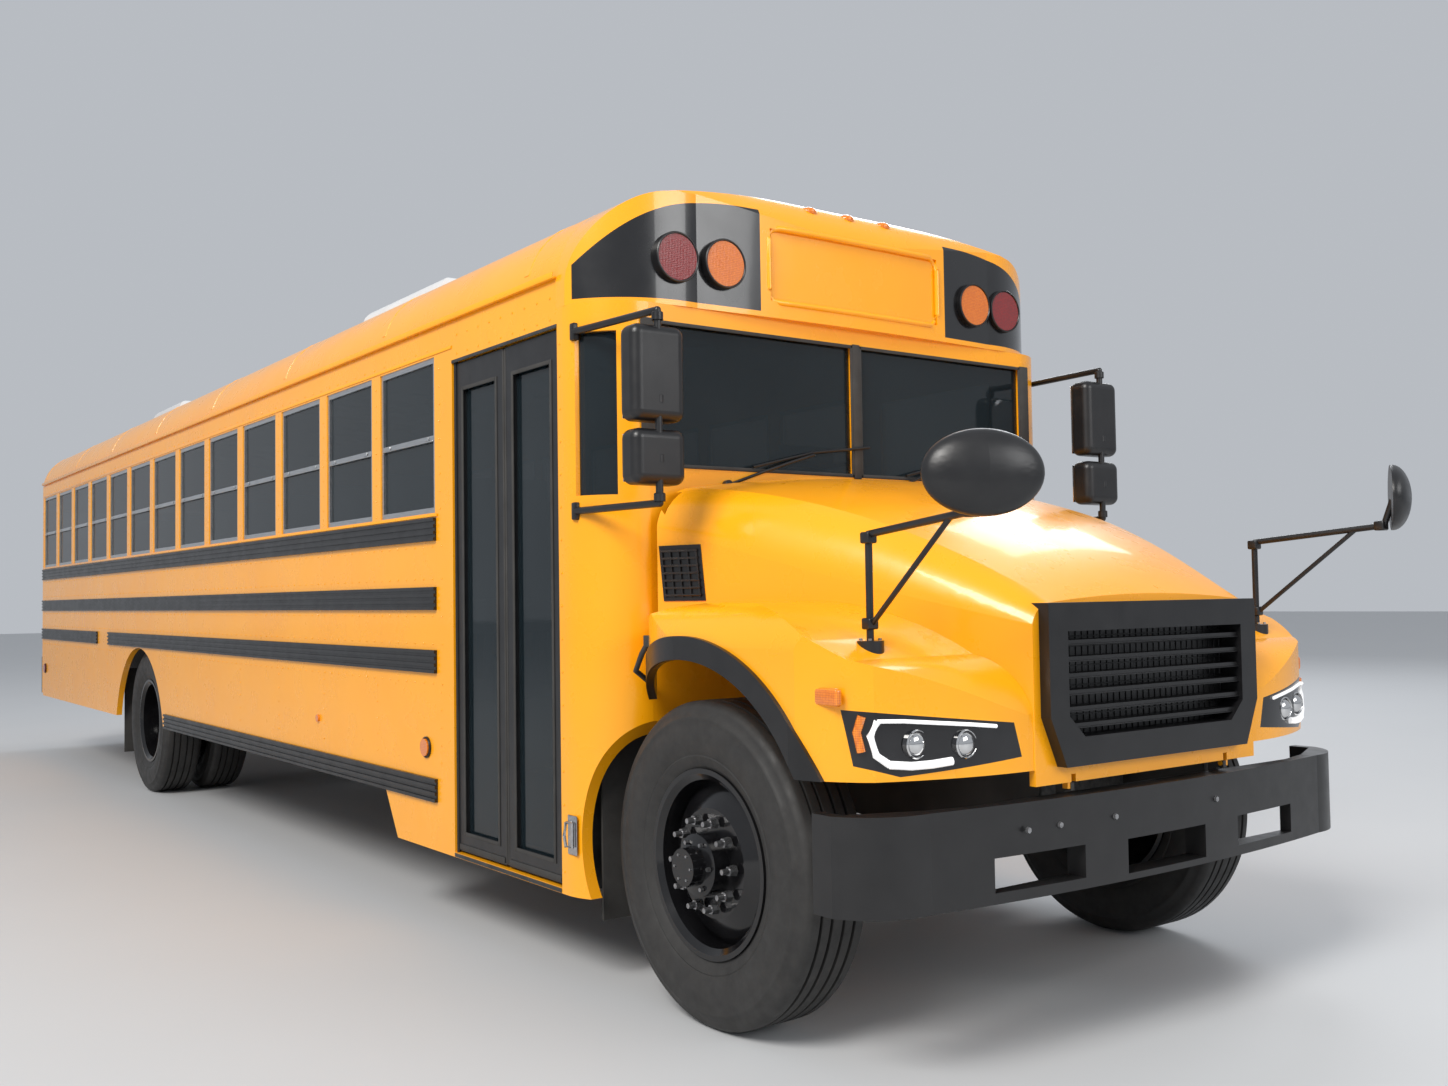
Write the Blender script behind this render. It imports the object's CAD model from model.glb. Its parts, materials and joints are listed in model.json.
"""Looks of the school bus: paint, glass, rubber, lamps, seats and the small parts on its frame.

Metres; +X forward, +Y to the left, +Z up, as in the frame.
"""
import json
import math

import bmesh
import bpy
from mathutils import Matrix, Vector
from mathutils.bvhtree import BVHTree


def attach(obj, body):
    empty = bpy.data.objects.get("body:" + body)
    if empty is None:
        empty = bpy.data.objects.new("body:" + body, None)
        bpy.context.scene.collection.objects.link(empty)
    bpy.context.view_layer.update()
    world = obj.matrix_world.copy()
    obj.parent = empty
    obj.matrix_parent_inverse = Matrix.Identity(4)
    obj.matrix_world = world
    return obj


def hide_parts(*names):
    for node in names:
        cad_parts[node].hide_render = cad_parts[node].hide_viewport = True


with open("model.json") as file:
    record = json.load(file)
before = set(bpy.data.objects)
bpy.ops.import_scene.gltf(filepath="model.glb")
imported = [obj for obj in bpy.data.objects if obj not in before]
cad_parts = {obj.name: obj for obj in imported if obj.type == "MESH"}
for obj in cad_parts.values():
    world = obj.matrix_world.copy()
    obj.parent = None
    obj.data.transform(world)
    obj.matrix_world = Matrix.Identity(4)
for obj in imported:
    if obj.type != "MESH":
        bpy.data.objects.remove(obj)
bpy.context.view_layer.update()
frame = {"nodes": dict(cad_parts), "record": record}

NODES = frame["nodes"]

# sizes shared with the frame
BODY_HALF = 1.219
AXLE_FRONT, AXLE_REAR, AXLE_Z = 4.9, -2.2, 0.525
TRACK_FRONT, TRACK_REAR, TWIN_HALF = 1.0, 0.855, 0.17
TREAD_HALF, RIM_R, BEAD_HALF = 0.098, 0.284, 0.0955
STUD_CIRCLE = 0.28575
WINDOWS, WINDOW_FRONT, WINDOW_PITCH, WINDOW_WIDE = 13, 3.073, 0.706, 0.604
SEAT_ROWS, SEAT_FRONT, SEAT_PITCH = 12, 2.85, 0.706
RAIL_REAR, RAIL_FRONT, REAR_FACE = -6.04, 4.15, -6.080
SIDES = (("left", 1), ("right", -1))

# how finely tyres and cushions are cut, and the angle that stays a sharp edge
TYRE_STEPS, CUSHION_CELLS, SHARP_ANGLE = 120, 9, math.radians(38)

# fastener heads: radius, height, sides, taper
WHEEL_NUT = (0.0185, 0.026, 6, 0.86)
STUD_FRONT = (0.011, 0.034, 10, 0.8)
STUD_REAR = (0.011, 0.036, 10, 0.8)
HUB_BOLT = (0.008, 0.012, 6, 0.9)
CAP_BOLT = (0.005, 0.005, 6, 0.9)
RIVET = (0.0042, 0.0024, 8, 0.6)
SCREW = (0.0048, 0.0026, 8, 0.7)
FOOT_BOLT = (0.006, 0.006, 6, 0.9)
BUMPER_BOLT = (0.010, 0.008, 6, 0.9)
SIGN_BOLT = (0.007, 0.005, 6, 0.9)


# ------------------------------------------------------------------ materials
def finish_of(name, build):
    """A node material; build(tree, shader, coords) links its pattern to the shader."""
    mat = bpy.data.materials.new(name)
    mat.use_nodes = True
    tree = mat.node_tree
    shader = tree.nodes["Principled BSDF"]
    coords = tree.nodes.new("ShaderNodeTexCoord").outputs["Object"]
    build(tree, shader, coords)
    return mat


def noise(tree, coords, scale, detail=4.0, rough=0.55, stretch=(1, 1, 1)):
    mapping = tree.nodes.new("ShaderNodeMapping")
    mapping.inputs["Scale"].default_value = stretch
    tree.links.new(coords, mapping.inputs["Vector"])
    node = tree.nodes.new("ShaderNodeTexNoise")
    node.inputs["Scale"].default_value = scale
    node.inputs["Detail"].default_value = detail
    node.inputs["Roughness"].default_value = rough
    tree.links.new(mapping.outputs["Vector"], node.inputs["Vector"])
    return node.outputs["Fac"]


def ramp(tree, value, stops):
    """Colour (or grey) ramp; stops are (position, colour)."""
    node = tree.nodes.new("ShaderNodeValToRGB")
    node.color_ramp.elements[0].position = stops[0][0]
    node.color_ramp.elements[1].position = stops[-1][0]
    for place, _ in stops[1:-1]:
        node.color_ramp.elements.new(place)
    for element, (_, colour) in zip(node.color_ramp.elements, stops):
        element.color = tuple(colour) + (1.0,) if len(colour) == 3 else colour
    tree.links.new(value, node.inputs["Fac"])
    return node.outputs["Color"]


def grey(value):
    return (value, value, value)


def bump(tree, shader, height, strength, distance=0.002, after=None):
    node = tree.nodes.new("ShaderNodeBump")
    node.inputs["Strength"].default_value = strength
    node.inputs["Distance"].default_value = distance
    tree.links.new(height, node.inputs["Height"])
    if after is not None:
        tree.links.new(after, node.inputs["Normal"])
    tree.links.new(node.outputs["Normal"], shader.inputs["Normal"])
    return node.outputs["Normal"]


def maths(tree, kind, a, b=None, clamp=False):
    node = tree.nodes.new("ShaderNodeMath")
    node.operation = kind
    node.use_clamp = clamp
    for socket, value in zip(node.inputs, (a, b)):
        if value is None:
            continue
        if isinstance(value, (int, float)):
            socket.default_value = value
        else:
            tree.links.new(value, socket)
    return node.outputs["Value"]


def blend_colours(tree, factor, one, two):
    node = tree.nodes.new("ShaderNodeMix")
    node.data_type = "RGBA"
    tree.links.new(factor, node.inputs["Factor"])
    for name, colour in (("A", one), ("B", two)):
        socket = [i for i in node.inputs if i.name == name and i.type == "RGBA"][0]
        if isinstance(colour, tuple):
            socket.default_value = colour + (1.0,)
        else:
            tree.links.new(colour, socket)
    return [o for o in node.outputs if o.type == "RGBA"][0]


def axes_of(tree, coords):
    node = tree.nodes.new("ShaderNodeSeparateXYZ")
    tree.links.new(coords, node.inputs["Vector"])
    return node.outputs["X"], node.outputs["Y"], node.outputs["Z"]


YELLOW = (1.0, 0.405, 0.002)
YELLOW_DEEP = (0.975, 0.385, 0.002)
BLACK_PAINT = (0.004, 0.004, 0.005)
ROAD_DUST = (0.42, 0.33, 0.22)
METAL_GRAIN, LENS_CELLS = 60.0, 150.0
ARCH_Y, ARCH_REACH_SQUARED, ARCH_TOP = 0.90, 0.60, 1.24


def feed(tree, shader, **values):
    """Sets or links a shader's inputs; Base_Color stands for "Base Color"."""
    for name, value in values.items():
        socket = shader.inputs[name.replace("_", " ")]
        if isinstance(value, (int, float)):
            socket.default_value = value
        else:
            tree.links.new(value, socket)


def bands(tree, coords, axis, scale, distortion=0.0):
    wave = tree.nodes.new("ShaderNodeTexWave")
    wave.bands_direction = axis
    wave.inputs["Scale"].default_value = scale
    wave.inputs["Distortion"].default_value = distortion
    tree.links.new(coords, wave.inputs["Vector"])
    return wave.outputs["Fac"]


def yellow_tone(tree, coords):
    return ramp(tree, noise(tree, coords, 1.3, 3.0), [(0.35, YELLOW_DEEP), (0.62, YELLOW)])


def road_film(tree, coords, base):
    """A faint film of road dust that thickens towards the skirts."""
    _, _, z = axes_of(tree, coords)
    low = maths(tree, "MULTIPLY", maths(tree, "SUBTRACT", 0.95, z), 0.55, clamp=True)
    patch = noise(tree, coords, 2.2, 6.0, 0.65, (0.5, 1, 1.6))
    amount = maths(tree, "MULTIPLY", low, maths(tree, "MULTIPLY", patch, 0.18))
    return blend_colours(tree, amount, base, ROAD_DUST)


def bus_yellow(tree, shader, coords):
    tone = yellow_tone(tree, coords)
    tree.links.new(road_film(tree, coords, tone), shader.inputs["Base Color"])
    rough = ramp(tree, noise(tree, coords, 5.0, 5.0), [(0.3, grey(0.24)), (0.7, grey(0.34))])
    feed(tree, shader, Roughness=rough, Coat_Weight=0.35, Coat_Roughness=0.06)
    wave = noise(tree, coords, 2.6, 2.0, 0.4, (0.7, 1, 1))
    first = bump(tree, shader, wave, 0.04, 0.006)
    bump(tree, shader, noise(tree, coords, 420.0, 2.0), 0.035, 0.0006, first)


def hood_paint(tree, shader, coords):
    """Bus yellow, with the faces inside the wheel arches sprayed black."""
    bus_yellow(tree, shader, coords)
    yellow = shader.inputs["Base Color"].links[0].from_socket
    x, y, z = axes_of(tree, coords)
    inward = maths(tree, "SUBTRACT", ARCH_Y, maths(tree, "ABSOLUTE", y))
    reach = [maths(tree, "SUBTRACT", AXLE_FRONT, x),
             maths(tree, "MULTIPLY", maths(tree, "SIGN", y), inward),
             maths(tree, "SUBTRACT", AXLE_Z, z)]
    source = tree.nodes.new("ShaderNodeTexCoord")
    split = tree.nodes.new("ShaderNodeSeparateXYZ")
    tree.links.new(source.outputs["Normal"], split.inputs[0])
    facing = maths(tree, "ADD", maths(tree, "MULTIPLY", reach[0], split.outputs[0]),
                   maths(tree, "ADD", maths(tree, "MULTIPLY", reach[1], split.outputs[1]),
                         maths(tree, "MULTIPLY", reach[2], split.outputs[2])))
    inside = maths(tree, "GREATER_THAN", facing, 0.02)
    far = maths(tree, "ADD", maths(tree, "POWER", maths(tree, "ABSOLUTE", reach[0]), 2.0),
                maths(tree, "POWER", maths(tree, "ABSOLUTE", reach[2]), 2.0))
    inside = maths(tree, "MULTIPLY", inside, maths(tree, "LESS_THAN", far, ARCH_REACH_SQUARED))
    inside = maths(tree, "MULTIPLY", inside, maths(tree, "LESS_THAN", z, ARCH_TOP))
    tree.links.new(blend_colours(tree, inside, yellow, BLACK_PAINT), shader.inputs["Base Color"])


def cap_paint(tree, shader, coords):
    """Yellow centre with gloss black lamp fields on both sides."""
    x, y, z = axes_of(tree, coords)
    side = maths(tree, "ABSOLUTE", y)
    black = maths(tree, "GREATER_THAN", side, 0.497)
    fall = maths(tree, "MULTIPLY", maths(tree, "POWER", side, 6.0), 0.088)
    top = maths(tree, "ADD", z, fall)
    for more in (maths(tree, "LESS_THAN", top, 2.868), maths(tree, "GREATER_THAN", z, 2.474),
                 maths(tree, "GREATER_THAN", x, 4.235)):
        black = maths(tree, "MULTIPLY", black, more)
    tone = yellow_tone(tree, coords)
    tree.links.new(blend_colours(tree, black, tone, BLACK_PAINT), shader.inputs["Base Color"])
    rough = ramp(tree, noise(tree, coords, 6.0, 5.0), [(0.3, grey(0.20)), (0.7, grey(0.30))])
    feed(tree, shader, Roughness=rough, Coat_Weight=0.6, Coat_Roughness=0.06)
    bump(tree, shader, noise(tree, coords, 420.0, 2.0), 0.035, 0.0006)


def plastic(dark, light, rough, grain=900.0, depth=0.12, dusty=0.0):
    """Moulded plastic or powder coat: fine grain, faint tone changes."""
    def build(tree, shader, coords):
        tone = ramp(tree, noise(tree, coords, 9.0, 6.0), [(0.3, dark), (0.72, light)])
        if dusty:
            film = maths(tree, "MULTIPLY", noise(tree, coords, 3.5, 6.0, 0.6), dusty, clamp=True)
            tone = blend_colours(tree, film, tone, (0.30, 0.27, 0.23))
        feed(tree, shader, Base_Color=tone)
        gloss = ramp(tree, noise(tree, coords, 14.0, 4.0),
                     [(0.3, grey(rough * 0.85)), (0.75, grey(min(1.0, rough * 1.2)))])
        feed(tree, shader, Roughness=gloss)
        bump(tree, shader, noise(tree, coords, grain, 2.0), depth, 0.0006)
    return build


def metal(dark, light, rough, brushed=(1, 1, 1), metallic=1.0):
    def build(tree, shader, coords):
        tone = ramp(tree, noise(tree, coords, METAL_GRAIN, 5.0, 0.6, brushed),
                    [(0.3, dark), (0.7, light)])
        feed(tree, shader, Base_Color=tone, Metallic=metallic)
        gloss = ramp(tree, noise(tree, coords, METAL_GRAIN * 0.6, 4.0, 0.5, brushed),
                     [(0.3, grey(rough * 0.8)), (0.7, grey(rough * 1.25))])
        feed(tree, shader, Roughness=gloss)
        bump(tree, shader, noise(tree, coords, METAL_GRAIN * 5, 3.0, 0.5, brushed), 0.08, 0.0008)
    return build


def tinted_glass(tree, shader, coords):
    """Dark tinted pane that mirrors the sky and shows a little of the cabin."""
    tone = ramp(tree, noise(tree, coords, 1.1, 3.0), [(0.3, (0.008, 0.014, 0.018)),
                                                      (0.7, (0.014, 0.022, 0.027))])
    feed(tree, shader, Base_Color=tone, Roughness=0.04, IOR=1.5, Alpha=0.72)
    smear = noise(tree, coords, 3.0, 3.0, 0.5, (0.5, 0.5, 1.4))
    bump(tree, shader, smear, 0.05, 0.004)


def tyre_rubber(tree, shader, coords):
    tone = ramp(tree, noise(tree, coords, 26.0, 7.0, 0.65),
                [(0.3, (0.008, 0.008, 0.009)), (0.75, (0.020, 0.020, 0.020))])
    dust = maths(tree, "MULTIPLY", noise(tree, coords, 7.0, 6.0, 0.7), 0.10)
    tree.links.new(blend_colours(tree, dust, tone, (0.20, 0.18, 0.15)),
                   shader.inputs["Base Color"])
    gloss = ramp(tree, noise(tree, coords, 18.0, 4.0), [(0.3, grey(0.52)), (0.7, grey(0.74))])
    feed(tree, shader, Roughness=gloss)
    bump(tree, shader, noise(tree, coords, 260.0, 3.0), 0.25, 0.001)


def lens(deep, bright, glow):
    """Moulded lamp lens with a pattern of small prisms."""
    def build(tree, shader, coords):
        cell = tree.nodes.new("ShaderNodeTexVoronoi")
        cell.inputs["Scale"].default_value = LENS_CELLS
        cell.inputs["Randomness"].default_value = 0.15
        tree.links.new(coords, cell.inputs["Vector"])
        tone = ramp(tree, cell.outputs["Distance"], [(0.05, bright), (0.75, deep)])
        feed(tree, shader, Base_Color=tone, Roughness=0.12, Coat_Weight=1.0, Coat_Roughness=0.03,
             Emission_Color=tone, Emission_Strength=glow)
        bump(tree, shader, cell.outputs["Distance"], 0.5, 0.002)
    return build


def vinyl(dark, light):
    def build(tree, shader, coords):
        tone = ramp(tree, noise(tree, coords, 6.0, 5.0), [(0.3, dark), (0.7, light)])
        feed(tree, shader, Base_Color=tone)
        gloss = ramp(tree, noise(tree, coords, 30.0, 3.0), [(0.3, grey(0.38)), (0.7, grey(0.55))])
        feed(tree, shader, Roughness=gloss)
        grain = tree.nodes.new("ShaderNodeTexVoronoi")
        grain.inputs["Scale"].default_value = 380.0
        tree.links.new(coords, grain.inputs["Vector"])
        first = bump(tree, shader, grain.outputs["Distance"], 0.22, 0.0008)
        bump(tree, shader, noise(tree, coords, 9.0, 3.0), 0.25, 0.006, first)
    return build


def woven(dark, light):
    def build(tree, shader, coords):
        waves = [bands(tree, coords, axis, 160.0, 1.5) for axis in "XYZ"]
        cross = maths(tree, "MULTIPLY", maths(tree, "ADD", waves[0], waves[1]), waves[2])
        tree.links.new(ramp(tree, cross, [(0.1, dark), (0.9, light)]),
                       shader.inputs["Base Color"])
        feed(tree, shader, Roughness=0.9, Sheen_Weight=0.3)
        bump(tree, shader, cross, 0.4, 0.001)
    return build


def ribbed_floor(tree, shader, coords):
    wave = bands(tree, coords, "Y", 28.0)
    tone = ramp(tree, noise(tree, coords, 7.0, 6.0), [(0.3, grey(0.030)), (0.7, grey(0.060))])
    feed(tree, shader, Base_Color=tone, Roughness=0.72)
    bump(tree, shader, wave, 0.5, 0.003)


def roof_cover(tree, shader, coords):
    """White moulded cover with a slightly weathered top."""
    tone = ramp(tree, noise(tree, coords, 4.0, 6.0), [(0.3, (0.66, 0.67, 0.68)),
                                                      (0.7, (0.74, 0.75, 0.76))])
    feed(tree, shader, Base_Color=tone, Roughness=0.42)
    bump(tree, shader, noise(tree, coords, 300.0, 2.0), 0.10, 0.001)


def cored_radiator(tree, shader, coords):
    wave = bands(tree, coords, "Z", 60.0)
    tone = ramp(tree, wave, [(0.2, grey(0.02)), (0.8, grey(0.16))])
    feed(tree, shader, Base_Color=tone, Metallic=0.7, Roughness=0.5)
    bump(tree, shader, wave, 0.5, 0.002)


def mirror_face(tree, shader, coords):
    tone = ramp(tree, noise(tree, coords, 3.0, 2.0), [(0.3, grey(0.62)), (0.7, grey(0.70))])
    feed(tree, shader, Base_Color=tone, Metallic=1.0, Roughness=0.04)


def white_led(tree, shader, coords):
    tone = ramp(tree, noise(tree, coords, 40.0, 2.0), [(0.3, grey(0.80)), (0.7, grey(0.90))])
    feed(tree, shader, Base_Color=tone, Emission_Color=tone, Emission_Strength=0.55,
         Roughness=0.25)


FINISH = {
    "yellow_paint": finish_of("bus_yellow", bus_yellow),
    "cap_paint": finish_of("cap_yellow_and_black", cap_paint),
    "hood_paint": finish_of("hood_yellow", hood_paint),
    "black_trim": finish_of("satin_black_trim", plastic((0.004, 0.004, 0.005),
                            (0.009, 0.009, 0.010), 0.34, 700.0, 0.10, 0.01)),
    "frame_black": finish_of("chassis_black", plastic((0.010, 0.010, 0.010),
                             (0.028, 0.027, 0.026), 0.55, 240.0, 0.25, 0.18)),
    "floor_rubber": finish_of("ribbed_floor", ribbed_floor),
    "dark_glass": finish_of("tinted_glass", tinted_glass),
    "window_aluminium": finish_of("window_aluminium", metal((0.46, 0.47, 0.48),
                                  (0.62, 0.63, 0.64), 0.36, (0.2, 1, 4))),
    "step_plate": finish_of("step_plate", plastic((0.02, 0.02, 0.02), (0.05, 0.05, 0.05),
                                                  0.7, 120.0, 0.5)),
    "tyre_rubber": finish_of("tyre_rubber", tyre_rubber),
    "rim_black": finish_of("wheel_gloss_black", plastic((0.003, 0.003, 0.004),
                           (0.007, 0.007, 0.008), 0.14, 300.0, 0.04, 0.01)),
    "bare_iron": finish_of("cast_iron", metal((0.05, 0.05, 0.05), (0.12, 0.115, 0.11), 0.6,
                                              metallic=0.6)),
    "radiator_alloy": finish_of("radiator_core", cored_radiator),
    "clear_lens": finish_of("lamp_housing_black", plastic((0.006, 0.006, 0.007),
                            (0.014, 0.014, 0.016), 0.10, 60.0, 0.03)),
    "mirror_black": finish_of("mirror_shell_black", plastic((0.007, 0.007, 0.008),
                              (0.014, 0.014, 0.015), 0.36, 900.0, 0.12)),
    "bumper_black": finish_of("bumper_black", plastic((0.005, 0.005, 0.006),
                              (0.010, 0.010, 0.011), 0.36, 520.0, 0.12, 0.02)),
    "seat_vinyl": finish_of("bench_vinyl", vinyl((0.010, 0.016, 0.034), (0.020, 0.030, 0.060))),
    "seat_steel": finish_of("seat_steel", plastic((0.03, 0.03, 0.032), (0.06, 0.06, 0.062),
                                                  0.45, 400.0, 0.1)),
    "driver_fabric": finish_of("driver_cloth", woven((0.012, 0.013, 0.016),
                                                     (0.05, 0.052, 0.06))),
    "dash_plastic": finish_of("dash_plastic", plastic((0.02, 0.02, 0.022),
                              (0.035, 0.035, 0.037), 0.6, 700.0, 0.3)),
    "amber_lens": finish_of("amber_lens", lens((0.50, 0.10, 0.002), (0.95, 0.30, 0.01),
                                               glow=0.12)),
    "red_lens": finish_of("red_lens", lens((0.12, 0.002, 0.002), (0.42, 0.012, 0.010),
                                           glow=0.05)),
    "white_cover": finish_of("roof_unit_white", roof_cover),
    "flap_rubber": finish_of("flap_rubber", plastic((0.012, 0.012, 0.012),
                             (0.03, 0.03, 0.03), 0.75, 160.0, 0.4, 0.12)),
    "sign_red": finish_of("sign_red", plastic((0.40, 0.008, 0.008), (0.50, 0.012, 0.012), 0.35,
                                              500.0, 0.06)),
    "mirror_face": finish_of("mirror_face", mirror_face),
    "white_led": finish_of("led_strip", white_led),
    "nut_steel": finish_of("nut_steel", metal((0.22, 0.22, 0.225), (0.42, 0.42, 0.43), 0.3,
                                              metallic=0.9)),
    "bright_steel": finish_of("latch_steel", metal((0.40, 0.40, 0.41), (0.60, 0.60, 0.61), 0.3)),
}
SLOT_OF = {part["node"]: part["material_slot"] for part in frame["record"]["subparts"]}


def clad(piece, finish):
    piece.data.materials.clear()
    piece.data.materials.append(FINISH[finish])
    return piece


for name, node in NODES.items():
    clad(node, {"front_cap": "cap_paint", "hood": "hood_paint"}.get(name, SLOT_OF[name]))


# ------------------------------------------------------------------ mesh helpers
def piece_from(name, mesh_or_bm, finish, body):
    """A smooth-shaded piece at the origin, in the given finish, riding on a body."""
    if isinstance(mesh_or_bm, bmesh.types.BMesh):
        mesh = bpy.data.meshes.new(name)
        bmesh.ops.recalc_face_normals(mesh_or_bm, faces=mesh_or_bm.faces)
        mesh_or_bm.to_mesh(mesh)
        mesh_or_bm.free()
    else:
        mesh = mesh_or_bm
        mesh.name = name
    piece = bpy.data.objects.new(name, mesh)
    bpy.context.scene.collection.objects.link(piece)
    for face in mesh.polygons:
        face.use_smooth = True
    mesh.set_sharp_from_angle(angle=SHARP_ANGLE)
    clad(piece, finish)
    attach(piece, body)
    return piece


def lathe(bm, outline, centre):
    """Turns (radius, station) pairs about an axis along Y through the centre."""
    rings = []
    for k in range(TYRE_STEPS):
        angle = 2 * math.pi * k / TYRE_STEPS
        c, w = math.cos(angle), math.sin(angle)
        rings.append([bm.verts.new((centre[0] + r * c, centre[1] + a, centre[2] + r * w))
                      for r, a in outline])
    for k in range(TYRE_STEPS):
        here, there = rings[k], rings[(k + 1) % TYRE_STEPS]
        for i in range(len(outline) - 1):
            bm.faces.new((here[i], here[i + 1], there[i + 1], there[i]))


def slab(bm, low, high, round_edge=0.0, steps=2):
    """A block between two corners with its edges rounded."""
    made = bmesh.ops.create_cube(bm, size=1.0)["verts"]
    size = [abs(b - a) for a, b in zip(low, high)]
    middle = [(a + b) / 2 for a, b in zip(low, high)]
    bmesh.ops.scale(bm, vec=size, verts=made)
    bmesh.ops.translate(bm, vec=middle, verts=made)
    if round_edge:
        edges = list({e for v in made for e in v.link_edges})
        bmesh.ops.bevel(bm, geom=edges, offset=round_edge, segments=steps, profile=0.5,
                        affect="EDGES")


def tube(bm, path, radius, sides):
    """A round tube through the points of a path."""
    points = [Vector(p) for p in path]
    rings = []
    for i, p in enumerate(points):
        ahead = points[min(i + 1, len(points) - 1)]
        behind = points[max(i - 1, 0)]
        along = (ahead - behind).normalized()
        side = along.cross(Vector((0, 0, 1)) if abs(along.z) < 0.9 else Vector((1, 0, 0)))
        side.normalize()
        up = side.cross(along)
        rings.append([bm.verts.new(p + radius * (math.cos(t) * side + math.sin(t) * up))
                      for t in (2 * math.pi * k / sides for k in range(sides))])
    for one, two in zip(rings, rings[1:]):
        for k in range(sides):
            bm.faces.new((one[k], one[(k + 1) % sides], two[(k + 1) % sides], two[k]))
    bm.faces.new(rings[0][::-1])
    bm.faces.new(rings[-1])


# one Geometry Nodes tree sets every repeated fastener: a small turned head on each point
def heads_tree():
    tree = bpy.data.node_groups.new("fastener_heads", "GeometryNodeTree")
    face = tree.interface
    face.new_socket("Geometry", in_out="INPUT", socket_type="NodeSocketGeometry")
    face.new_socket("Geometry", in_out="OUTPUT", socket_type="NodeSocketGeometry")
    keys = {}
    for label, kind, value in (("Radius", "NodeSocketFloat", 0.01),
                               ("Height", "NodeSocketFloat", 0.006),
                               ("Sides", "NodeSocketInt", 8), ("Taper", "NodeSocketFloat", 0.8),
                               ("Finish", "NodeSocketMaterial", None)):
        socket = face.new_socket(label, in_out="INPUT", socket_type=kind)
        if value is not None:
            socket.default_value = value
        keys[label] = socket.identifier
    add, link = tree.nodes.new, tree.links.new
    start, end = add("NodeGroupInput"), add("NodeGroupOutput")
    head = add("GeometryNodeMeshCone")
    link(start.outputs["Sides"], head.inputs["Vertices"])
    link(start.outputs["Radius"], head.inputs["Radius Bottom"])
    top = add("ShaderNodeMath")
    top.operation = "MULTIPLY"
    link(start.outputs["Radius"], top.inputs[0])
    link(start.outputs["Taper"], top.inputs[1])
    link(top.outputs["Value"], head.inputs["Radius Top"])
    link(start.outputs["Height"], head.inputs["Depth"])
    facing = add("GeometryNodeInputNamedAttribute")
    facing.data_type = "FLOAT_VECTOR"
    facing.inputs["Name"].default_value = "facing"
    align = add("FunctionNodeAlignRotationToVector")
    align.axis = "Z"
    link(facing.outputs["Attribute"], align.inputs["Vector"])
    copies = add("GeometryNodeInstanceOnPoints")
    link(start.outputs["Geometry"], copies.inputs["Points"])
    link(head.outputs["Mesh"], copies.inputs["Instance"])
    link(align.outputs["Rotation"], copies.inputs["Rotation"])
    real = add("GeometryNodeRealizeInstances")
    link(copies.outputs["Instances"], real.inputs["Geometry"])
    paint = add("GeometryNodeSetMaterial")
    link(real.outputs["Geometry"], paint.inputs["Geometry"])
    link(start.outputs["Finish"], paint.inputs["Material"])
    link(paint.outputs["Geometry"], end.inputs["Geometry"])
    return tree, keys


HEADS, HEAD_KEYS = heads_tree()


def heads(name, spots, size, finish, body):
    """Fastener heads; spots are (point, facing), size is (radius, height, sides, taper)."""
    mesh = bpy.data.meshes.new(name)
    mesh.from_pydata([tuple(p) for p, _ in spots], [], [])
    facing = mesh.attributes.new("facing", "FLOAT_VECTOR", "POINT")
    facing.data.foreach_set("vector", [c for _, f in spots for c in f])
    seed = bpy.data.objects.new(name + "_points", mesh)
    bpy.context.scene.collection.objects.link(seed)
    mod = seed.modifiers.new("heads", "NODES")
    mod.node_group = HEADS
    for label, value in zip(("Radius", "Height", "Sides", "Taper", "Finish"),
                            size + (FINISH[finish],)):
        mod[HEAD_KEYS[label]] = value
    seed.update_tag()
    depsgraph = bpy.context.evaluated_depsgraph_get()
    made = bpy.data.meshes.new_from_object(seed.evaluated_get(depsgraph), depsgraph=depsgraph)
    bpy.data.objects.remove(seed)
    return piece_from(name, made, finish, body)


# ------------------------------------------------------------------ wheels
def tyre_outline():
    """Tyre section from bead to bead: stepped sidewall, shoulder and five road ribs."""
    lip, widest = 0.105, 0.14
    side = [(RIM_R, -BEAD_HALF), (0.304, -lip), (0.322, -0.118), (0.345, -0.127),
            (0.350, -0.1255), (0.362, -0.1325), (0.400, -0.1385), (0.415, -widest),
            (0.440, -0.1385), (0.462, -0.1345), (0.466, -0.1365), (0.474, -0.1350),
            (0.478, -0.1310), (0.500, -0.1215), (0.506, -0.1205), (0.515, -0.1120),
            (0.5205, -0.1050), (0.5235, -TREAD_HALF)]
    ribs = []
    for groove in (-0.066, -0.024, 0.024, 0.066):
        for a, r in ((-0.0062, 0.5245), (-0.0040, 0.5105), (0.0040, 0.5105), (0.0062, 0.5245)):
            ribs.append((r, groove + a))
    return side + ribs + [(r, -a) for r, a in side[::-1]]


def dress_tyre(name, node, body, centres):
    bm = bmesh.new()
    for centre in centres:
        lathe(bm, tyre_outline() + [(RIM_R, -BEAD_HALF)], centre)
    bmesh.ops.remove_doubles(bm, verts=bm.verts, dist=1e-5)
    tyre = piece_from(name, bm, "tyre_rubber", body)
    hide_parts(node)


def nut_ring(centre, sign, station, count, circle):
    """Spots on a circle about the wheel's axis, facing away from the bus."""
    y = centre[1] + station * sign
    return [((centre[0] + circle / 2 * math.cos(2 * math.pi * k / count), y,
              centre[2] + circle / 2 * math.sin(2 * math.pi * k / count)), (0, sign, 0))
            for k in range(count)]


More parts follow.
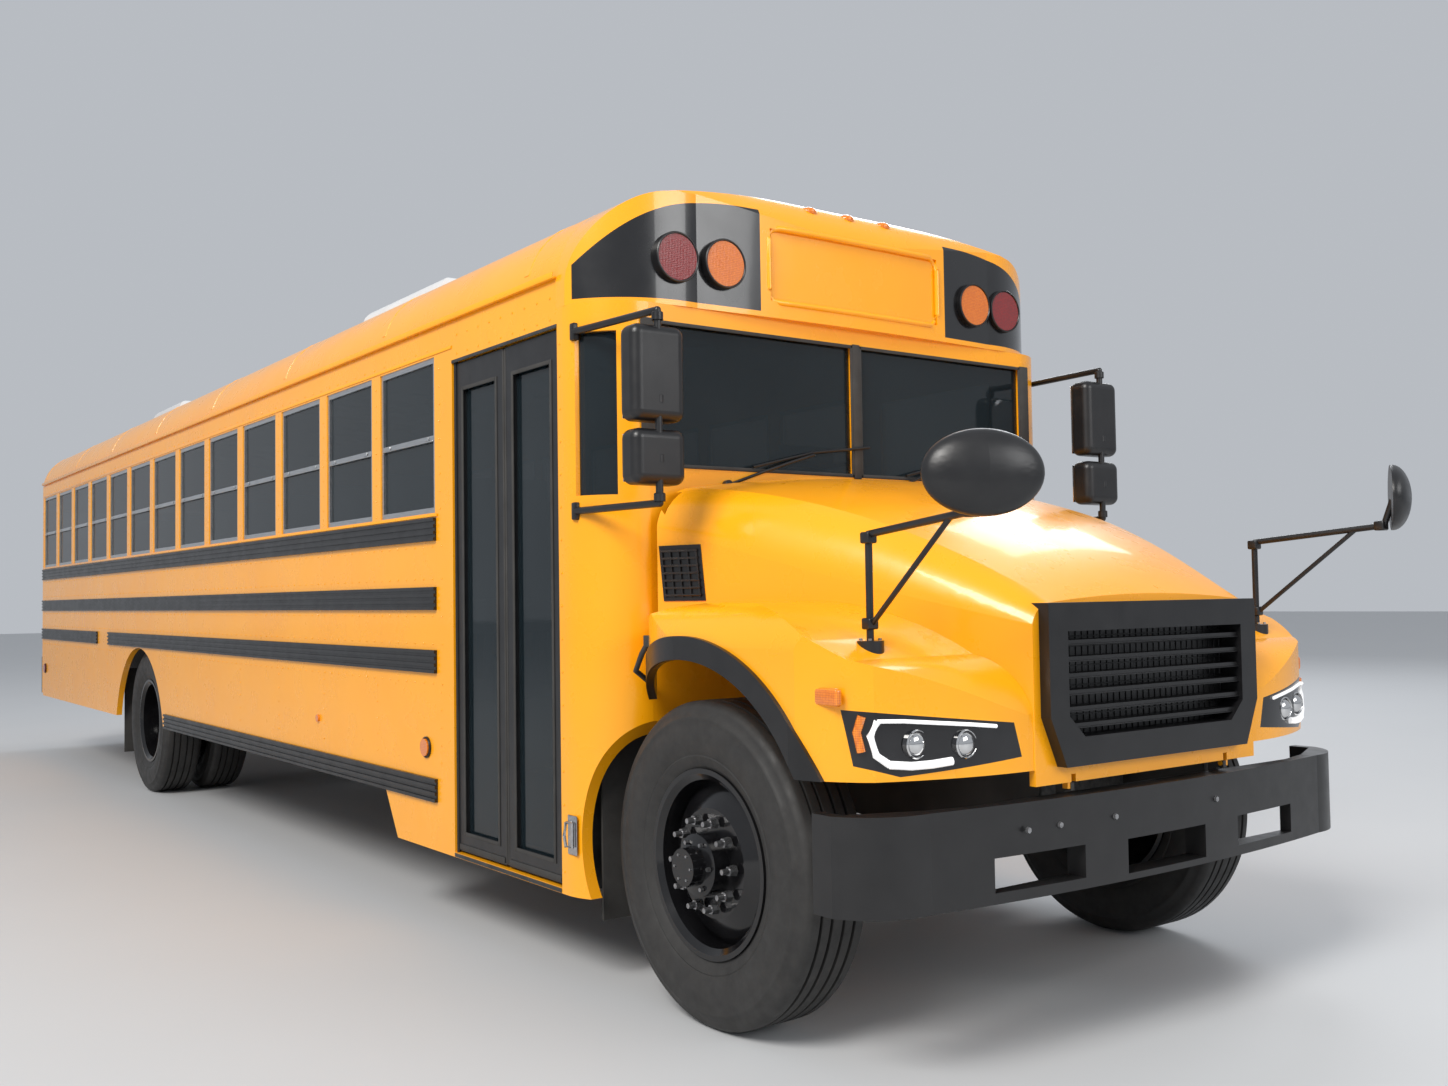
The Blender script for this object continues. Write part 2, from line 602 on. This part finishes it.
# rings of fasteners: name, distance out from the wheel's middle, count, circle, head
FRONT_RINGS = (("wheel_nuts", 0.104, 10, STUD_CIRCLE, WHEEL_NUT),
               ("wheel_studs", 0.122, 10, STUD_CIRCLE, STUD_FRONT),
               ("hub_bolts", 0.156, 6, 0.160, HUB_BOLT),
               ("hub_cap_bolts", 0.2035, 6, 0.086, CAP_BOLT))
REAR_RINGS = (("wheel_nuts", 0.024, 10, STUD_CIRCLE, WHEEL_NUT),
              ("wheel_studs", 0.044, 10, STUD_CIRCLE, STUD_REAR),
              ("hub_bolts", 0.142, 8, 0.182, HUB_BOLT))
WHEELS = (("_front_", AXLE_FRONT, TRACK_FRONT, (0,), FRONT_RINGS),
          ("s_rear_", AXLE_REAR, TRACK_REAR, (TWIN_HALF, -TWIN_HALF), REAR_RINGS))

for side, y in SIDES:
    for end, x, track, shifts, rings in WHEELS:
        at = (x, track * y, AXLE_Z)
        body = "wheel" + end + side
        dress_tyre("road_tyre" + end + side, "tyre" + end + side, body,
                   [(at[0], at[1] + shift, at[2]) for shift in shifts])
        for label, station, count, circle, head in rings:
            heads(label + end.lstrip("s") + side, nut_ring(at, y, station, count, circle), head,
                  "nut_steel", body)


# ------------------------------------------------------------------ seats
def cushion(bm, low, high, puff):
    """A stuffed pad: a rounded block that swells between its seams."""
    half = [(b - a) / 2 for a, b in zip(low, high)]
    mid = [(a + b) / 2 for a, b in zip(low, high)]
    stops = [-1 + 2 * k / CUSHION_CELLS for k in range(CUSHION_CELLS + 1)]
    grid = {}

    def vert(u, v, w):
        key = (round(u, 4), round(v, 4), round(w, 4))
        if key not in grid:
            swell = (1 - u * u) * (1 - v * v)
            pinch = 1 - 0.072 * abs(w) ** 6
            depth = (0.86 + 0.14 * swell) * (1 - 0.10 * (abs(u) ** 8 + abs(v) ** 8))
            rise = puff * swell if w > 0 else 0
            grid[key] = bm.verts.new((mid[0] + half[0] * u * pinch, mid[1] + half[1] * v * pinch,
                                      mid[2] + half[2] * w * depth + rise))
        return grid[key]

    def patch(fix, sign):
        for u0, u1 in zip(stops, stops[1:]):
            for v0, v1 in zip(stops, stops[1:]):
                quad = [(u0, v0), (u1, v0), (u1, v1), (u0, v1)]
                if sign < 0:
                    quad.reverse()
                bm.faces.new([vert(*(q[:fix] + (sign,) + q[fix:])) for q in quad])

    for fix in (0, 1, 2):
        for sign in (-1, 1):
            patch(fix, sign)


def piped_edge(bm, low, high, z):
    """Piping round a pad's seam, set in from its corners."""
    inset, radius = 0.012, 0.006
    x0, y0, x1, y1 = low[0] + inset, low[1] + inset, high[0] - inset, high[1] - inset
    tube(bm, [(x0, y0, z), (x1, y0, z), (x1, y1, z), (x0, y1, z), (x0, y0, z)], radius, 8)


def stand_up(bm, back, degrees, place):
    """Joins a seat's back, made lying down, to the seat: turned about Y, then moved."""
    turn = Matrix.Rotation(math.radians(degrees), 4, "Y")
    bmesh.ops.transform(back, matrix=Matrix.Translation(place) @ turn, verts=back.verts)
    copy = bpy.data.meshes.new("back_copy")
    back.to_mesh(copy)
    back.free()
    bm.from_mesh(copy)
    bpy.data.meshes.remove(copy)


for side, y in SIDES:
    bm = bmesh.new()
    for row in range(SEAT_ROWS):
        front = SEAT_FRONT - SEAT_PITCH * row
        y0, y1 = sorted((0.252 * y, 1.148 * y))
        seat_low, seat_high = (front - 0.418, y0, 1.272), (front - 0.004, y1, 1.386)
        cushion(bm, seat_low, seat_high, 0.012)
        piped_edge(bm, seat_low, seat_high, 1.366)
        back = bmesh.new()
        cushion(back, (-0.36, y0, -0.048), (0.36, y1, 0.050), 0.010)
        piped_edge(back, (-0.36, y0, 0), (0.36, y1, 0), 0.034)
        stand_up(bm, back, -96.5, (front - 0.512, 0, 1.640))
    pads = piece_from("bench_pads_" + side, bm, "seat_vinyl", "coach")
    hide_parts("bench_cushions_" + side)

bm = bmesh.new()
cushion(bm, (3.36, 0.355, 1.425), (3.822, 0.845, 1.515), 0.012)
back = bmesh.new()
cushion(back, (-0.27, 0.36, -0.045), (0.27, 0.84, 0.045), 0.012)
cushion(back, (-0.385, 0.44, -0.035), (-0.28, 0.76, 0.035), 0.006)
stand_up(bm, back, 96, (3.362, 0, 1.735))
driver = piece_from("driver_pads", bm, "driver_fabric", "coach")
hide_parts("driver_seat")


# ------------------------------------------------------------------ body details
def skin_of(name):
    """A node's surface, to lay details on."""
    return BVHTree.FromObject(NODES[name], bpy.context.evaluated_depsgraph_get())


def found(points):
    """The points that did land on a surface."""
    return [p for p in points if p is not None]


for side, y in SIDES:
    face = (BODY_HALF + 0.0008) * y
    out = (0, y, 0)
    spots = []
    x = -5.98
    while x < 3.2:
        for z in (1.48, 1.62, 1.03, 1.20, 1.32):
            if not (z < 1.1 and abs(x - AXLE_REAR) < 0.78):
                spots.append(((x, face, z), out))
        x += 0.094
    for k in range(WINDOWS + 1):
        post = WINDOW_FRONT + 0.051 - WINDOW_PITCH * k
        spots += [((post, face, 1.78 + 0.075 * n), out) for n in range(9)]
        spots += [((post, face, 0.62 + 0.075 * n), out) for n in range(6)
                  if abs(post - AXLE_REAR) > 0.8]
    spots += [((-6.0 + 0.12 * n, face, 2.476), out) for n in range(76)]
    heads("body_rivets_" + side, spots, RIVET, "yellow_paint", "coach")
    bm = bmesh.new()
    slab(bm, (RAIL_REAR, face - 0.0008 * y, 2.566), (RAIL_FRONT, face + 0.016 * y, 2.574), 0.003)
    slab(bm, (RAIL_REAR, face + 0.012 * y, 2.566), (RAIL_FRONT, face + 0.018 * y, 2.590), 0.0025)
    slab(bm, (RAIL_REAR, face, 2.448), (3.25, face + 0.003 * y, 2.462), 0.001)
    slab(bm, (RAIL_REAR, face, 1.748), (3.10, face + 0.006 * y, 1.760), 0.002)
    piece_from("drip_rail_" + side, bm, "yellow_paint", "coach")
    bm = bmesh.new()
    for k in range(WINDOWS):
        hi = WINDOW_FRONT - WINDOW_PITCH * k
        lo = hi - WINDOW_WIDE
        for x0, x1, z0, z1 in ((lo + 0.07, lo + 0.11, 2.082, 2.098),
                               (hi - 0.11, hi - 0.07, 2.082, 2.098),
                               (lo + 0.024, hi - 0.024, 2.076, 2.081)):
            slab(bm, (x0, 1.214 * y, z0), (x1, 1.2175 * y, z1), 0.001, 1)
    piece_from("sash_latches_" + side, bm, "window_aluminium", "coach")

# roof bows: flat caps over the roof's joints, laid on its arch
roof_skin = skin_of("roof")


def on_roof(x, angle, lift):
    """The point on the roof's outside at an angle about the cabin's middle line."""
    way = Vector((0, math.cos(angle), math.sin(angle)))
    hit = roof_skin.ray_cast(Vector((x, 0, 1.9)) + way * 3, -way)[0]
    return hit + way * lift


bm = bmesh.new()
for x in [3.9 - 1.412 * k for k in range(8)]:
    arch = [math.radians(31 + 118 * n / 48) for n in range(49)]
    rows = [[bm.verts.new(on_roof(x + dx, angle, lift)) for dx, lift in
             ((-0.020, -0.002), (-0.017, 0.0025), (0.017, 0.0025), (0.020, -0.002))]
            for angle in arch]
    for one, two in zip(rows, rows[1:]):
        for k in range(3):
            bm.faces.new((one[k], one[k + 1], two[k + 1], two[k]))
        bm.faces.new((one[3], one[0], two[0], two[3]))
    bm.faces.new(rows[0])
    bm.faces.new(rows[-1][::-1])
bmesh.ops.recalc_face_normals(bm, faces=bm.faces)
piece_from("roof_bow_caps", bm, "yellow_paint", "coach")

# door seals and kick strip on each leaf
for side, x0, x1, free in (("front", 3.712, 4.135, 3.712), ("rear", 3.265, 3.688, 3.688)):
    body = "entry_leaf_" + side
    bm = bmesh.new()
    way = 1 if free < (x0 + x1) / 2 else -1
    slab(bm, (free - 0.010 * way, -1.207, 0.352), (free + 0.004 * way, -1.178, 2.378), 0.004)
    gx0, gx1, gz0, gz1 = x0 + 0.060, x1 - 0.060, 0.425, 2.268
    for a, b in (((gx0 - 0.010, gz0 - 0.010), (gx0 + 0.006, gz1 + 0.010)),
                 ((gx1 - 0.006, gz0 - 0.010), (gx1 + 0.010, gz1 + 0.010)),
                 ((gx0, gz0 - 0.010), (gx1, gz0 + 0.006)),
                 ((gx0, gz1 - 0.006), (gx1, gz1 + 0.010))):
        slab(bm, (a[0], -1.2085, a[1]), (b[0], -1.203, b[1]), 0.0024)
    slab(bm, (x0 + 0.01, -1.2095, 0.356), (x1 - 0.01, -1.204, 0.378), 0.0015)
    piece_from("door_seals_" + side, bm, "flap_rubber", body)
bm = bmesh.new()
slab(bm, (3.25, -1.2215, 2.384), (4.15, -1.2165, 2.398), 0.002)
slab(bm, (3.252, -1.222, 0.322), (4.148, -1.218, 0.338), 0.002)
piece_from("entry_trim", bm, "step_plate", "coach")
heads("entry_screws", [((3.30 + 0.1 * k, -1.2195, z), (0, -1, 0)) for k in range(9)
                       for z in (2.42, 2.50)] +
      [((4.168, -1.2195, 0.40 + 0.12 * k), (0, -1, 0)) for k in range(17)],
      SCREW, "yellow_paint", "coach")


# ------------------------------------------------------------------ lamps
def ring_about(bm, centre, way, inner, outer, low, high, steps=40):
    """A round collar about an axis; low and high are heights along it."""
    along = Vector(way).normalized()
    side = along.orthogonal().normalized()
    up = along.cross(side)
    rows = []
    for k in range(steps):
        t = 2 * math.pi * k / steps
        out = side * math.cos(t) + up * math.sin(t)
        rows.append([bm.verts.new(Vector(centre) + out * r + along * h) for r, h in
                     ((outer, low), (outer, high - 0.003), (outer - 0.003, high),
                      (inner + 0.002, high), (inner, high - 0.003), (inner, low))])
    for k in range(steps):
        a, b = rows[k], rows[(k + 1) % steps]
        for i in range(5):
            bm.faces.new((a[i], a[i + 1], b[i + 1], b[i]))


bm = bmesh.new()
for y in (1, -1):
    for spot, low, high in (((4.386, 0.671 * y, 2.63), 0.035, 0.082),
                            ((4.356, 0.879 * y, 2.63), 0.03, 0.098)):
        ring_about(bm, spot, (1, 0, 0), 0.086, 0.094, low, high)
    for across, z, size in ((0.671, 2.63, 0.086), (0.879, 2.63, 0.086), (1.040, 1.18, 0.091),
                            (0.820, 1.18, 0.061)):
        ring_about(bm, (REAR_FACE, across * y, z), (-1, 0, 0), size, size + 0.012, 0.0, 0.022)
piece_from("warning_lamp_collars", bm, "black_trim", "coach")
bm = bmesh.new()
for y in (1, -1):
    for x, z, r in ((2.974, 0.752, 0.039), (-5.9, 0.793, 0.039)):
        ring_about(bm, (x, BODY_HALF * y, z), (0, y, 0), r, r + 0.007, 0.0, 0.010)
piece_from("marker_collars", bm, "black_trim", "coach")
bm = bmesh.new()
for y in (0.0, 0.199, -0.199):
    made = bmesh.ops.create_uvsphere(bm, u_segments=20, v_segments=10, radius=1.0)["verts"]
    bmesh.ops.scale(bm, vec=(0.050, 0.036, 0.024), verts=made)
    bmesh.ops.translate(bm, vec=(4.374, y, 2.915), verts=made)
piece_from("roof_marker_lamps", bm, "amber_lens", "coach")

lamp_skin = skin_of("headlamps")
hood_skin = skin_of("hood")


def on_front(y, z, skin=lamp_skin, lift=0.004):
    """The point on a front surface straight ahead of (y, z)."""
    hit, normal, _, _ = skin.ray_cast(Vector((6.3, y, z)), Vector((-1, 0, 0)))
    return None if hit is None else hit + normal * lift * (1 if normal.x > 0 else -1)


for side, y in SIDES:
    bm = bmesh.new()
    upper = [(0.71, 1.000), (0.80, 1.010), (0.90, 1.019), (1.00, 1.028), (1.070, 1.030)]
    outer = [(1.070, 1.030), (1.086, 0.99), (1.075, 0.935), (1.04, 0.908)]
    lower = [(1.04, 0.908), (0.98, 0.902), (0.92, 0.904), (0.86, 0.910)]
    for run, thick in ((upper, 0.006), (outer, 0.011), (lower, 0.012)):
        path = found(on_front(a * y, b) for a, b in run)
        if len(path) > 1:
            tube(bm, path, thick, 10)
    piece_from("headlamp_strip_" + side, bm, "white_led", "hood")
    bm = bmesh.new()
    for a, b in ((0.965, 0.962), (0.815, 0.955)):
        spot = on_front(a * y, b, lift=-0.002)
        if spot is not None:
            made = bmesh.ops.create_uvsphere(bm, u_segments=32, v_segments=16,
                                             radius=0.034)["verts"]
            bmesh.ops.scale(bm, vec=(0.55, 1, 1), verts=made)
            bmesh.ops.translate(bm, vec=spot, verts=made)
            ring_about(bm, spot + Vector((0.002, 0, 0)), (1, 0, 0), 0.036, 0.042, -0.012, 0.008)
    piece_from("headlamp_projectors_" + side, bm, "mirror_face", "hood")
    bm = bmesh.new()
    path = found(on_front(a * y, b) for a, b in ((1.102, 1.045), (1.112, 1.0), (1.104, 0.945)))
    if len(path) > 1:
        tube(bm, path, 0.013, 10)
        piece_from("headlamp_turn_" + side, bm, "amber_lens", "hood")
    else:
        bm.free()


# ------------------------------------------------------------------ hood details
cap_skin = skin_of("front_cap")
bm = bmesh.new()
rim = []
for cy, cz, start in ((0.405, 2.755, 0), (-0.405, 2.755, 90), (-0.405, 2.565, 180),
                      (0.405, 2.565, 270)):
    rim += [(cy + 0.05 * math.cos(math.radians(start + a)),
             cz + 0.05 * math.sin(math.radians(start + a))) for a in (0, 30, 60, 90)]
path = []
for (ya, za), (yb, zb) in zip(rim, rim[1:] + rim[:1]):
    steps = max(1, int(math.hypot(yb - ya, zb - za) / 0.06))
    path += [on_front(ya + (yb - ya) * k / steps, za + (zb - za) * k / steps, cap_skin, -0.004)
             for k in range(steps)]
path = found(path)
tube(bm, path + path[:1], 0.012, 10)
piece_from("cap_panel_rim", bm, "yellow_paint", "coach")


def on_side(x, z, y, lift=0.003):
    """The point on the hood's or fender's side at (x, z); y is 1 left, -1 right."""
    hit = hood_skin.ray_cast(Vector((x, 1.5 * y, z)), Vector((0, -y, 0)))[0]
    return None if hit is None else hit + Vector((0, y * lift, 0))


for side, y in SIDES:
    spot = on_side(5.561, 1.098, y)
    if spot:
        bm = bmesh.new()
        slab(bm, (spot.x - 0.062, spot.y - 0.016 * y, spot.z - 0.026),
             (spot.x + 0.062, spot.y + 0.010 * y, spot.z + 0.026), 0.010, 3)
        piece_from("fender_marker_" + side, bm, "amber_lens", "hood")
    bm = bmesh.new()
    cells = 9
    net = {}
    for i in range(cells + 1):
        for j in range(cells + 1):
            z = 1.372 + 0.196 * j / cells
            spot = on_side(4.490 + 0.10 * (1.470 - z) + 0.175 * i / cells, z, y, lift=0.004)
            if spot:
                net[i, j] = bm.verts.new(spot)
    for i in range(cells):
        for j in range(cells):
            corners = [net.get(c) for c in ((i, j), (i + 1, j), (i + 1, j + 1), (i, j + 1))]
            if all(corners):
                bm.faces.new(corners if y < 0 else corners[::-1])
    made = bmesh.ops.extrude_face_region(bm, geom=bm.faces[:])["geom"]
    bmesh.ops.translate(bm, vec=(0, -0.012 * y, 0),
                        verts=[v for v in made if isinstance(v, bmesh.types.BMVert)])
    for k in range(7):
        z = 1.392 + 0.026 * k
        bar = found(on_side(4.500 + 0.10 * (1.470 - z) + 0.155 * n / 8, z, y, lift=0.008)
                    for n in range(9))
        if len(bar) > 1:
            tube(bm, bar, 0.0045, 6)
    for k in range(5):
        stile = found(on_side(4.505 + 0.10 * (1.470 - z) + 0.036 * k, z, y, lift=0.008)
                      for z in [1.385 + 0.024 * n for n in range(8)])
        if len(stile) > 1:
            tube(bm, stile, 0.0035, 6)
    piece_from("hood_louvre_" + side, bm, "black_trim", "hood")
    # rubber strap latch from the cowl to the hood
    bm = bmesh.new()
    a = on_side(4.55, 1.23, y)
    if a:
        tube(bm, [(4.445, 1.010 * y, 1.075), (4.475, (abs(a.y) + 0.004) * y, 1.13),
                  (4.52, (abs(a.y) + 0.007) * y, 1.19), (4.56, (abs(a.y) + 0.004) * y, 1.235)],
             0.010, 10)
        slab(bm, (4.535, (abs(a.y) - 0.002) * y, 1.215), (4.585, (abs(a.y) + 0.012) * y, 1.255),
             0.004)
        piece_from("hood_strap_" + side, bm, "flap_rubber", "hood")
    else:
        bm.free()
    bm = bmesh.new()
    loop = [(4.215, 1.222 * y, 0.585), (4.215, 1.240 * y, 0.585), (4.215, 1.246 * y, 0.540),
            (4.215, 1.240 * y, 0.500), (4.250, 1.232 * y, 0.500), (4.250, 1.232 * y, 0.585),
            (4.215, 1.236 * y, 0.585)]
    tube(bm, loop, 0.006, 10)
    slab(bm, (4.198, 1.217 * y, 0.47), (4.262, 1.223 * y, 0.61), 0.004)
    piece_from("cowl_latch_" + side, bm, "bright_steel", "coach")
    # the crossover mirror's foot bolts and clamps, then the side mirror's glass and clamps
    heads("mirror_foot_bolts_" + side, [((5.56 + 0.028 * math.cos(t), 0.985 * y +
                                          0.028 * math.sin(t), 1.2515), (0, 0, 1))
                                         for t in (0.8, 2.4, 3.9, 5.5)],
          FOOT_BOLT, "nut_steel", "hood")
    bm = bmesh.new()
    for p in ((5.56, 0.985 * y, 1.30), (5.56, 0.985 * y, 1.55), (6.02, 1.039 * y, 1.60)):
        slab(bm, (p[0] - 0.019, p[1] - 0.019, p[2] - 0.017),
             (p[0] + 0.019, p[1] + 0.019, p[2] + 0.017), 0.006, 3)
    piece_from("crossover_clamps_" + side, bm, "mirror_black", "hood")
    bm = bmesh.new()
    for z0, z1 in ((1.988, 2.287), (1.775, 1.937)):
        slab(bm, (4.6415, (1.160 - 0.088) * y, z0), (4.6445, (1.160 + 0.088) * y, z1), 0.0012)
    piece_from("mirror_glass_" + side, bm, "mirror_face", "coach")
    bm = bmesh.new()
    for z in (1.72, 2.33, 2.05, 1.85):
        ring_about(bm, (4.73, 1.16 * y, z), (0, 0, 1), 0.012, 0.020, -0.014, 0.014, 20)
    for z in (1.70, 2.35):
        slab(bm, (4.245, 1.195 * y, z - 0.032), (4.275, 1.222 * y, z + 0.032), 0.006)
    piece_from("mirror_clamps_" + side, bm, "mirror_black", "coach")

# lips along the grille's slats, and the screen behind them
bm = bmesh.new()
for k in range(8):
    z = 0.975 + 0.05 * k
    slab(bm, (5.8222, -0.446, z - 0.002), (5.8262, 0.446, z + 0.002), 0.0012, 1)
piece_from("grille_slat_lips", bm, "black_trim", "hood")
bm = bmesh.new()
slab(bm, (5.752, -0.452, 0.872), (5.757, 0.452, 1.382), 0.001, 1)
for k in range(30):
    y = -0.435 + 0.03 * k
    slab(bm, (5.757, y, 0.88), (5.760, y + 0.004, 1.375), 0.0008, 1)
for k in range(17):
    z = 0.885 + 0.03 * k
    slab(bm, (5.757, -0.448, z), (5.7605, 0.448, z + 0.004), 0.0008, 1)
piece_from("grille_screen", bm, "black_trim", "hood")

# wipers parked on the windscreen
for side, y0 in (("right", -0.66), ("left", 0.14)):
    bm = bmesh.new()
    tube(bm, [(4.436, y0, 1.800), (4.450, y0 + 0.16, 1.856), (4.449, y0 + 0.30, 1.900),
              (4.4455, y0 + 0.42, 1.935)], 0.006, 8)
    tube(bm, [(4.441, y0 + 0.12, 1.874), (4.440, y0 + 0.42, 1.944), (4.440, y0 + 0.72, 1.980)],
         0.0055, 8)
    ring_about(bm, (4.430, y0, 1.800), (1, 0, 0), 0.006, 0.020, 0.0, 0.022, 20)
    piece_from("wiper_" + side, bm, "black_trim", "coach")
bm = bmesh.new()
for y0, y1 in ((0.018, 0.984), (-0.984, -0.018)):
    for a, b in (((y0, 1.856), (y1, 1.870)), ((y0, 2.378), (y1, 2.392)),
                 ((y0, 1.856), (y0 + 0.012, 2.392)), ((y1 - 0.012, 1.856), (y1, 2.392))):
        slab(bm, (4.428, a[0], a[1]), (4.4345, b[0], b[1]), 0.003)
slab(bm, (4.429, -0.020, 1.850), (4.437, 0.020, 2.396), 0.004)
for y in (1, -1):
    slab(bm, (4.429, 0.982 * y, 1.850), (4.4355, 1.036 * y, 2.396), 0.003)
piece_from("windscreen_seal", bm, "flap_rubber", "coach")

# bumper bolts and rear details
heads("front_bumper_bolts", [((5.8335, d, 0.70), (1, 0, 0)) for d in (-0.64, -0.50)] +
      [((5.8465, d, 0.70), (1, 0, 0)) for d in (-0.26, 0.26)],
      BUMPER_BOLT, "nut_steel", "coach")
rear_spots = [((REAR_FACE - 0.0005, y, z), (-1, 0, 0)) for y in (-1.15, -0.53, 0.53, 1.15)
              for z in [0.98 + 0.09 * k for k in range(17)]]
heads("rear_rivets", rear_spots, RIVET, "yellow_paint", "coach")


def rear_seals(name, panes, body):
    """A rubber seal round each (y0, y1, z0, z1) pane of the bus's rear."""
    over, lap = 0.012, 0.004
    bm = bmesh.new()
    for y0, y1, z0, z1 in panes:
        for a, b in (((y0 - over, z0 - over), (y1 + over, z0 + lap)),
                     ((y0 - over, z1 - lap), (y1 + over, z1 + over)),
                     ((y0 - over, z0 - over), (y0 + lap, z1 + over)),
                     ((y1 - lap, z0 - over), (y1 + over, z1 + over))):
            slab(bm, (REAR_FACE - 0.006, a[0], a[1]), (REAR_FACE + 0.0015, b[0], b[1]), 0.0025)
    piece_from(name, bm, "flap_rubber", body)


rear_seals("rear_window_seals", ((0.56, 1.08, 1.765, 2.32), (-1.08, -0.56, 1.765, 2.32)), "coach")
rear_seals("rear_door_seals", ((-0.36, 0.36, 1.765, 2.26), (-0.36, 0.36, 1.12, 1.346)),
           "rear_door")

# white rim and bolts of the blank stop sign, an octagon
bm = bmesh.new()
SIGN_X, SIGN_Y, SIGN_Z, HALF_STEP = 2.830, 1.2505, 1.535, math.radians(22.5)
reach = 0.217 / math.cos(HALF_STEP)
tube(bm, [(SIGN_X + reach * math.cos(HALF_STEP * (1 + 2 * n)), SIGN_Y,
           SIGN_Z + reach * math.sin(HALF_STEP * (1 + 2 * n))) for n in range(9)], 0.0035, 8)
piece_from("stop_sign_rim", bm, "white_cover", "stop_arm")
heads("stop_sign_bolts", [((x, SIGN_Y, SIGN_Z + d), (0, 1, 0)) for x in (3.03, 3.085)
                          for d in (-0.04, 0.04)],
      SIGN_BOLT, "nut_steel", "stop_arm")

# louvres of the roof units
bm = bmesh.new()
for x0, x1 in ((0.68, 1.62), (-4.46, -3.74)):
    for k in range(9):
        for y in (1, -1):
            slab(bm, (x0, 0.553 * y, 2.985 + 0.013 * k), (x1, 0.5595 * y, 2.991 + 0.013 * k),
                 0.001, 1)
piece_from("roof_unit_louvres", bm, "step_plate", "coach")


# ------------------------------------------------------------------ stage, light and camera
def stage_finish(name, colour, rough):
    def build(tree, shader, coords):
        tone = ramp(tree, noise(tree, coords, 0.8, 4.0), [(0.3, tuple(c * 0.985 for c in colour)),
                                                          (0.7, colour)])
        feed(tree, shader, Base_Color=tone, Roughness=rough)
    return finish_of(name, build)


FLOOR_HALF = 70
floor_mesh = bpy.data.meshes.new("studio_floor")
floor_mesh.from_pydata([(FLOOR_HALF * a, FLOOR_HALF * b, 0) for a, b in
                        ((-1, -1), (1, -1), (1, 1), (-1, 1))], [], [(0, 1, 2, 3)])
floor = bpy.data.objects.new("studio_floor", floor_mesh)
bpy.context.scene.collection.objects.link(floor)
floor_mesh.materials.append(stage_finish("pale_floor", (0.56, 0.57, 0.58), 0.6))

world = bpy.data.worlds.new("studio")
bpy.context.scene.world = world
world.use_nodes = True
back = world.node_tree.nodes["Background"]
back.inputs["Color"].default_value = (0.80, 0.84, 0.90, 1)
back.inputs["Strength"].default_value = 0.6


def softbox(name, place, aim, size, power, colour=(1, 1, 1)):
    lamp = bpy.data.lights.new(name, "AREA")
    lamp.shape, lamp.size, lamp.size_y = "RECTANGLE", size[0], size[1]
    lamp.energy, lamp.color = power, colour
    item = bpy.data.objects.new(name, lamp)
    item.location = place
    item.rotation_euler = (Vector(aim) - Vector(place)).to_track_quat("-Z", "Y").to_euler()
    bpy.context.scene.collection.objects.link(item)


softbox("key", (9.0, -13.0, 13.0), (1.0, 0.0, 1.2), (7, 7), 3000, (1.0, 0.97, 0.93))
softbox("fill", (17.0, 3.0, 7.0), (3.5, 0.0, 1.2), (8, 5), 600)
softbox("back_left", (-6.0, 13.0, 12.0), (-1.0, 0.0, 1.0), (10, 6), 1000, (0.95, 0.97, 1.0))

camera = bpy.data.cameras.new("camera")
camera.lens, camera.sensor_width = 33.36, 36.0
camera.clip_end = 400
eye = bpy.data.objects.new("camera", camera)
yaw, pitch, roll = math.radians(143.6021), math.radians(2.2792), math.radians(-0.8701)
ahead = Vector((math.cos(yaw) * math.cos(pitch), math.sin(yaw) * math.cos(pitch),
                math.sin(pitch)))
level = ahead.cross(Vector((0, 0, 1))).normalized()
above = level.cross(ahead)
right = level * math.cos(roll) + above * math.sin(roll)
up = above * math.cos(roll) - level * math.sin(roll)
turn = Matrix((right, up, -ahead)).transposed()
eye.matrix_world = Matrix.Translation((8.4553, -3.6425, 1.3855)) @ turn.to_4x4()
bpy.context.scene.collection.objects.link(eye)
bpy.context.scene.camera = eye
bpy.context.scene.view_settings.view_transform = "Standard"
